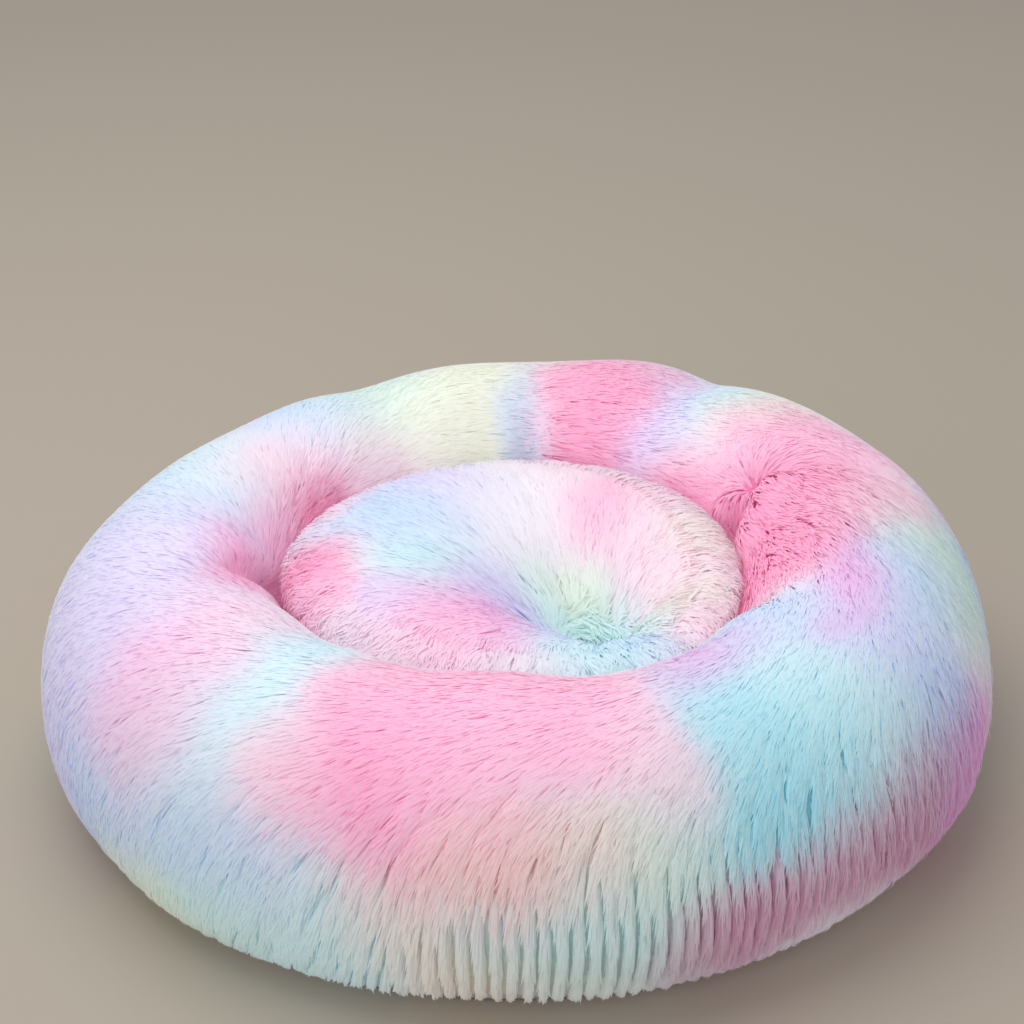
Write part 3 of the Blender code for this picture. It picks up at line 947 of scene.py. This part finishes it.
def turned(name, profile, around, centre=(0, 0), ripple=None):
    """A closed ring turned from a closed (radius, height) outline; ripple(theta, profile) moves it out."""
    theta = round_angles(around)
    profile = np.asarray(profile)
    radius = profile[None, :, 0] + 0 * theta
    if ripple:
        radius = radius + ripple(theta, profile)
    points = np.stack([centre[0] + radius * np.cos(theta), centre[1] + radius * np.sin(theta),
                       profile[None, :, 1] + 0 * theta], axis=2)
    return mesh_object(name, points.reshape(-1, 3), grid_quads(around, len(profile), True))


def disc(name, centre, radius, low, high, around, rings, rounding):
    """A flat round of cloth with softened edges, as a ring with a pinhole at its middle."""
    edge = quarter((radius - rounding, (low + high) / 2), rounding, (high - low) / 2, -90, 90, count=9)
    inner = np.linspace(0.0004, radius - rounding, rings, endpoint=False)
    under = np.stack([inner, np.full(rings, low)], axis=1)
    over = np.stack([inner[::-1], np.full(rings, high)], axis=1)
    return turned(name, np.concatenate([under, edge, over]), around, centre)


def pellets(name, places, along, length, width, height, sides=8):
    """Many small rounded pellets, such as stitches or rubber dots, as one mesh."""
    places, along = np.asarray(places), unit(np.asarray(along, dtype=float))
    up = np.array([0.0, 0.0, 1.0])
    aside = unit(np.cross(up, along))
    latitudes = np.radians([-90, -50, 0, 50, 90])
    turn = round_angles(sides)
    thick = np.cos(latitudes) + 1e-3
    local = np.stack([0.5 * length * np.sin(latitudes) + 0 * turn, 0.5 * width * thick * np.cos(turn),
                      0.5 * height * thick * np.sin(turn)], axis=2).reshape(-1, 3)
    verts = (places[:, None] + local[None, :, :1] * along[:, None] + local[None, :, 1:2] * aside[:, None]
             + local[None, :, 2:] * up)
    rows = len(latitudes)
    quads = grid_quads(sides, rows)[:, ::-1]
    fan = rows * np.array([[0, k + 1, k] for k in range(1, sides - 1)])
    fans = np.concatenate([fan, fan[:, ::-1] + rows - 1])
    base = (np.arange(len(places)) * len(local))[:, None, None]
    return mesh_object(name, verts.reshape(-1, 3), (base + quads).reshape(-1, 4),
                       (base + fans).reshape(-1, 3))


def round_stitches(name, centre, radius, height, count, length, thickness, material):
    """A ring of stitches, half sunk into the cloth."""
    places = ring_at(centre, radius, height, count)
    along = (places - [*centre, height])[:, [1, 0, 2]] * [-1, 1, 0]
    settle(pellets(name, places, along, length, thickness, thickness, 6), material, "tie_thread")


DOT_HEIGHT = 0.0009


def make_base(cloth_look, rubber_look):
    """The floor cloth and the rubber dots that keep it from sliding."""
    cloth = disc("base_cloth", (0, 0), PANEL_RADIUS, DOT_HEIGHT, PANEL_TOP, 160, 10, 0.0008)
    settle(cloth, cloth_look, "base_cloth", "base_panel")
    pitch = 0.0125
    rows = int(PANEL_RADIUS / (pitch * 0.866)) + 1
    places = [((i + 0.5 * (j % 2)) * pitch, j * pitch * 0.866, DOT_HEIGHT)
              for j in range(-rows, rows + 1) for i in range(-rows, rows + 1)]
    places = [place for place in places if math.hypot(place[0], place[1]) < PANEL_RADIUS - 0.006]
    dots = pellets("base_dots", places, [(1, 0, 0)] * len(places), 0.0032, 0.0032, 2 * DOT_HEIGHT)
    settle(dots, rubber_look, "base_cloth")


def make_binding(tape_look, thread_look):
    """Tape folded round the seam, a little puckered by its stitches."""
    low, high = cad_box("edge_binding")
    inner = PANEL_RADIUS + 0.0006
    middle = ((inner + BINDING_RADIUS) / 2, (low[2] + high[2]) / 2)
    profile = quarter(middle, (BINDING_RADIUS - inner) / 2, (high[2] - low[2]) / 2, 0, 360, 3.2, 29)[:-1]
    puckers = 150

    def ripple(theta, outline):
        return 0.00025 * np.sin(puckers * theta) * np.sign(outline[None, :, 0] - middle[0])

    tape = turned("binding_tape", profile, 600, ripple=ripple)
    settle(tape, tape_look, "binding_tape", "edge_binding")
    round_stitches("binding_stitches", (0, 0), middle[0], low[2] + 0.0001, 420, 0.0030, 0.0006, thread_look)


def make_wall(cloth_look):
    """The band of lining between the two fillings."""
    inside = WALL_RADIUS - 0.0010
    heights = np.linspace(WALL_LOW, WALL_HIGH, 20)
    profile = [(WALL_RADIUS, z) for z in heights] + [(inside, z) for z in heights[::-1]]
    wall = turned("divider_band", profile, 180)
    settle(wall, cloth_look, "lining_cloth", "divider_wall")


CORD_TURNS = 9


def make_knot(gathered_look):
    """The pad cloth's gathered end, fluted and drawn in at the waist."""
    radius = (KNOT_HIGH[0] - KNOT_LOW[0]) / 2
    low, high = KNOT_LOW[2], KNOT_HIGH[2]
    angle = np.radians(np.linspace(-88, 88, 23))
    waist = 1 - 0.25 * np.exp(-((np.sin(angle) - 0.1) / 0.22) ** 2)
    outer = np.stack([radius * 0.92 * np.cos(angle) * waist,
                      (low + high) / 2 + (high - low) / 2 * np.sin(angle)], axis=1)
    core = outer[::-1] * [0, 1] + [0.0002, 0]

    def flutes(theta, outline):
        return 0.07 * np.sin(13 * theta + 0.8 * np.sin(3 * theta)) * outline[None, :, 0]

    knot = turned("gathered_knot", np.concatenate([outer, core]), 120, TUFT[:2], flutes)
    settle(knot, gathered_look, "pad_fur", "tuft_knot")


def make_cord(thread_look):
    """The two-ply cord that pulls the knot down."""
    bottom, top = TIE_LOW[2], TIE_HIGH[2]
    thick = (TIE_HIGH[0] - TIE_LOW[0]) / 2
    along = np.linspace(0, 1, 160)
    phi = round_angles(20)
    plies = 1 + 0.30 * np.cos(2 * (phi - 2 * np.pi * CORD_TURNS * along))
    end = np.clip(np.minimum(along, 1 - along) / 0.01, 0.02, 1)
    wide = 0.74 * thick * plies * end
    points = np.stack([TUFT[0] + wide * np.cos(phi), TUFT[1] + wide * np.sin(phi),
                       bottom + (top - bottom) * along + 0 * phi], axis=2)
    core = points * 0.001 + np.array([TUFT[0], TUFT[1], 0]) * 0.999
    core[:, :, 2] = points[:, :, 2]
    section = np.concatenate([points, core[:, ::-1]], axis=1)       # the core closes both ends
    cord = mesh_object("twisted_tie", section.reshape(-1, 3), grid_quads(20, 320, True))
    settle(cord, thread_look, "tie_thread", "tuft_tie")


def make_patch(webbing_look, thread_look):
    """The patch that holds the cord, stitched down near its edge."""
    patch_radius = (PATCH_HIGH[0] - PATCH_LOW[0]) / 2
    patch = disc("webbing_patch", TUFT[:2], patch_radius, PATCH_LOW[2], PATCH_HIGH[2], 96, 12, 0.001)
    settle(patch, webbing_look, "webbing", "anchor_patch")
    round_stitches("patch_stitches", TUFT[:2], patch_radius - 0.003, PATCH_HIGH[2] - 0.0002, 34,
                   0.0028, 0.0006, thread_look)


SATIN_THICKNESS = 0.00022
LABEL_COLUMNS = 13          # points across the ribbon


def make_label(satin_look):
    """A blank satin ribbon folded in two, its ends in the seam and its fold hanging out."""
    width = LABEL_HIGH[0] - LABEL_LOW[0]
    start, end = LABEL_LOW[1], LABEL_HIGH[1]
    low, high = LABEL_LOW[2], LABEL_HIGH[2]
    cloth = SATIN_THICKNESS
    half = (high - low - cloth) / 2
    run = np.linspace(start, end - half - cloth / 2, 24)
    fold = np.radians(np.linspace(-90, 90, 11))
    middle = np.concatenate([np.stack([run, np.full(24, low + cloth / 2)], axis=1),
                             np.stack([run[-1] + half * np.cos(fold),
                                       (low + high) / 2 + half * np.sin(fold)], axis=1)[1:-1],
                             np.stack([run[::-1], np.full(24, high - cloth / 2)], axis=1)])
    way = unit(np.gradient(middle, axis=0))
    aside = np.stack([way[:, 1], -way[:, 0]], axis=1)
    outline = np.concatenate([middle + aside * cloth / 2, (middle - aside * cloth / 2)[::-1]])
    across = np.linspace(-width / 2, width / 2, LABEL_COLUMNS)
    verts = np.stack([np.tile(across, len(outline)), *np.repeat(outline, LABEL_COLUMNS, axis=0).T], axis=1)
    side = np.arange(len(middle) - 1)
    pair = len(outline) - 1 - side
    end_faces = LABEL_COLUMNS * np.stack([side, side + 1, pair - 1, pair], axis=1)
    quads = np.concatenate([grid_quads(len(outline), LABEL_COLUMNS), end_faces,
                            end_faces[:, ::-1] + LABEL_COLUMNS - 1])
    label = mesh_object("care_ribbon", verts, quads)
    settle(label, satin_look, "label_satin", "care_label")


def cover(name, form, dye, material, stands_for, slot):
    """A form's backing cloth in its dye: the form and a second surface under it, joined at both edges."""
    outer = form.points[::2, ::2]
    inner = outer - BACKING * form.normals[::2, ::2]
    around, across = outer.shape[:2]
    verts = np.concatenate([outer, inner[:, ::-1]], axis=1).reshape(-1, 3)
    piece = mesh_object(name, verts, grid_quads(around, 2 * across, True))
    share = np.linspace(0, 1, across)
    add_colours(piece.data, "dye", dye(verts, np.tile(np.concatenate([share, share[::-1]]), around)))
    settle(piece, material, slot, stands_for)


STAR_PLACE = np.zeros(3)
rim = settled(rim_form(*RIM_GRID), rim_hold, RIM_PRESSURE)
STAR_PLACE = rim.at(np.array([(STAR[0] + 180) / 360 * rim.around]), np.array([STAR[1] * rim.across]))[0][0]
pad = settled(pad_form(*PAD_GRID), pad_hold, PAD_PRESSURE)

fur = fur_material()
backing = backing_material()
cover("rim_backing", rim, rim_dye, backing, "rim_cover", "rim_fur")
cover("pad_backing", pad, pad_dye, backing, "pad_cover", "pad_fur")

fibre = fibre_material()
stuffing("rim_stuffing", rim, 130, [((0, 0), PANEL_RADIUS - 0.033, PANEL_TOP + 0.0006),
                                    ((0, 0), WALL_RADIUS + 0.0025, PANEL_TOP + 0.0006),
                                    ((0, 0), WALL_RADIUS + 0.0025, LIP_HEIGHT - 0.012)],
         fibre, "rim_filling")
pad_floor = PATCH_HIGH[2] + 0.0006
stuffing("pad_stuffing", pad, pad.across, [((0, 0), PAD_RADIUS - 0.0015, 0.108),
                                           ((0, 0), PAD_RADIUS - 0.0015, pad_floor),
                                           (TUFT, 0.0045, pad_floor), (TUFT, 0.0045, KNOT_LOW[2] - 0.002)],
         fibre, "pad_filling")
thread = woven_material("spun_thread", linear(236, 230, 226), 9000, 0.6, 0.6)
make_base(woven_material("base_weave", linear(96, 98, 106), 1600, 0.8), rubber_material())
make_binding(woven_material("binding_twill", linear(206, 202, 210), 2600, 0.75, 0.7), thread)
make_wall(woven_material("lining_weave", linear(232, 228, 222), 1800, 0.85))
make_knot(woven_material("gathered_plush", linear(206, 232, 240), 900, 0.9, 0.2, 0.4))
make_cord(thread)
make_patch(woven_material("webbing_weave", linear(214, 210, 204), 700, 0.8), thread)
make_label(woven_material("label_satin", linear(246, 246, 244), 5200, 0.38, 0.15, 0.2))

rim_locks = Locks(rim, RIM_LOCKS, RIM_COLUMNS, 5)
pad_locks = Locks(pad, PAD_LOCKS, 0, 6)
grow_fur("rim_fur", rim, rim_locks, RIM_STRANDS, rim_dye, lambda share: 0.6 + 0.4 * smooth(0.0, 0.1, share),
         rim_settings, fur, "rim_fur", 11)
grow_fur("pad_fur", pad, pad_locks, PAD_STRANDS, pad_dye, lambda share: 1.0 + 0 * share,
         pad_settings, fur, "pad_fur", 23)


# ---- studio

FLOOR_HALF_WIDTH = 14.0


def make_floor():
    material, _, shader = new_material("floor", 0.9)
    shader.inputs["Base Color"].default_value = (*linear(178, 167, 152), 1)
    far = FLOOR_HALF_WIDTH
    floor = mesh_object("studio_floor", [(-far, -far, 0), (far, -far, 0), (far, far, 0), (-far, far, 0)],
                        [(0, 1, 2, 3)])
    floor.data.materials.append(material)


def make_light(name, place, target, size, energy):
    data = bpy.data.lights.new(name, "AREA")
    data.shape = "DISK"
    data.size = size
    data.energy = energy
    light = bpy.data.objects.new(name, data)
    light.location = place
    light.rotation_euler = (Vector(target) - Vector(place)).to_track_quat("-Z", "Y").to_euler()
    bpy.context.scene.collection.objects.link(light)


def make_world():
    world = bpy.data.worlds.new("studio")
    world.use_nodes = True
    background = world.node_tree.nodes["Background"]
    background.inputs["Color"].default_value = (*linear(232, 234, 238), 1)
    background.inputs["Strength"].default_value = 0.65
    bpy.context.scene.world = world


CAMERA_DISTANCE = 2.0
CAMERA_ELEVATION = math.radians(33.5)
CAMERA_PITCH = math.radians(28.45)
CAMERA_ASIDE = 0.0
CAMERA_LENS = 92.8


def make_camera():
    data = bpy.data.cameras.new("camera")
    data.lens = CAMERA_LENS
    data.sensor_width = 36
    camera = bpy.data.objects.new("camera", data)
    camera.location = (CAMERA_ASIDE, -CAMERA_DISTANCE * math.cos(CAMERA_ELEVATION),
                       CAMERA_DISTANCE * math.sin(CAMERA_ELEVATION))
    camera.rotation_euler = (math.pi / 2 - CAMERA_PITCH, 0, 0)
    bpy.context.scene.collection.objects.link(camera)
    bpy.context.scene.camera = camera


make_floor()
make_light("key", (-0.5, 0.3, 2.1), (0, 0, 0.1), 2.2, 25)
make_light("fill", (-0.9, -2.1, 0.9), (0, 0, 0.1), 1.5, 10)
make_world()
make_camera()
bpy.context.scene.view_settings.view_transform = "Standard"
